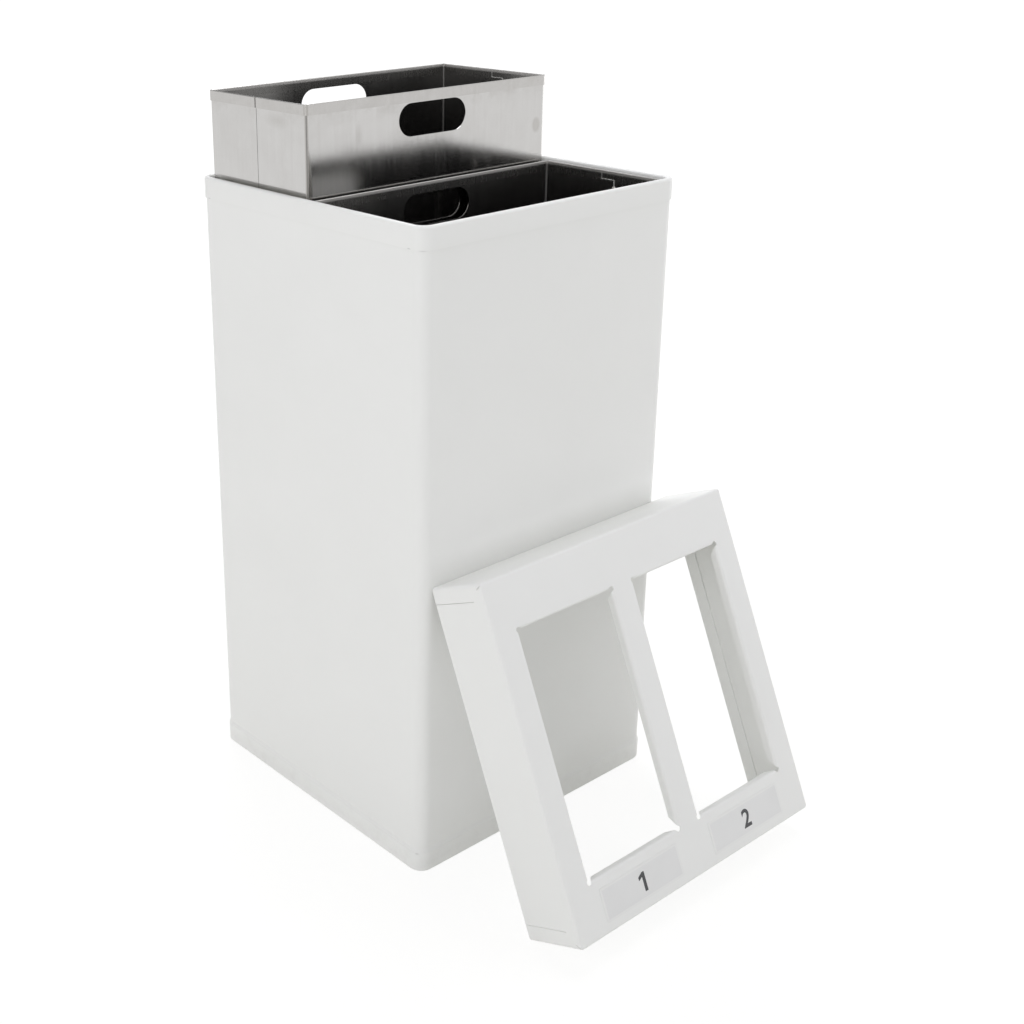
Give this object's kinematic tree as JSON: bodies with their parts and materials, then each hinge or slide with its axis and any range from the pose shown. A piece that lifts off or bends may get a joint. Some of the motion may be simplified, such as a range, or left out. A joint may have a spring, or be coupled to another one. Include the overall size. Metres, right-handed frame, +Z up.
{
  "type": "double recycling bin",
  "caption": "Square white steel casing with two lift-out metal liners, one partly lifted, and a lift-off lid with two openings that leans on its front.",
  "frame": {"origin": "centre of the casing's footprint, on the floor", "axes": "+Z up, -Y towards the front, where the lid leans, +X to the right seen from the front"},
  "size_m": [0.4186, 0.6324, 0.8703],
  "materials": {
    "white_powder_coat": "smooth satin powder coat, white",
    "galvanised_steel": "satin zinc-coated sheet with faint rolling lines and spangle",
    "label_film": "matt translucent grey film"
  },
  "bodies": {
    "casing": {"casing_wrap": "white_powder_coat", "top_rim": "white_powder_coat", "foot_band": "white_powder_coat", "base_panel": "white_powder_coat"},
    "rear_liner": {"rear_liner_back_half": "galvanised_steel", "rear_liner_front_half": "galvanised_steel", "rear_liner_pan": "galvanised_steel"},
    "front_liner": {"front_liner_back_half": "galvanised_steel", "front_liner_front_half": "galvanised_steel", "front_liner_pan": "galvanised_steel"},
    "lid": {"lid_shell": "white_powder_coat", "label_plate_left": "label_film", "label_plate_right": "label_film"}
  },
  "joints": [
    {"name": "rear_liner_lift", "type": "slide", "parent": "casing", "child": "rear_liner", "axis": [0, 0, 1], "range_m": [-0.104, 0.68]},
    {"name": "front_liner_lift", "type": "slide", "parent": "casing", "child": "front_liner", "axis": [0, 0, 1], "range_m": [0, 0.78]},
    {"name": "lid_lift", "type": "slide", "parent": "casing", "child": "lid", "axis": [0, -0.2599, 0.9656], "range_m": [0, 0.45]}
  ]
}
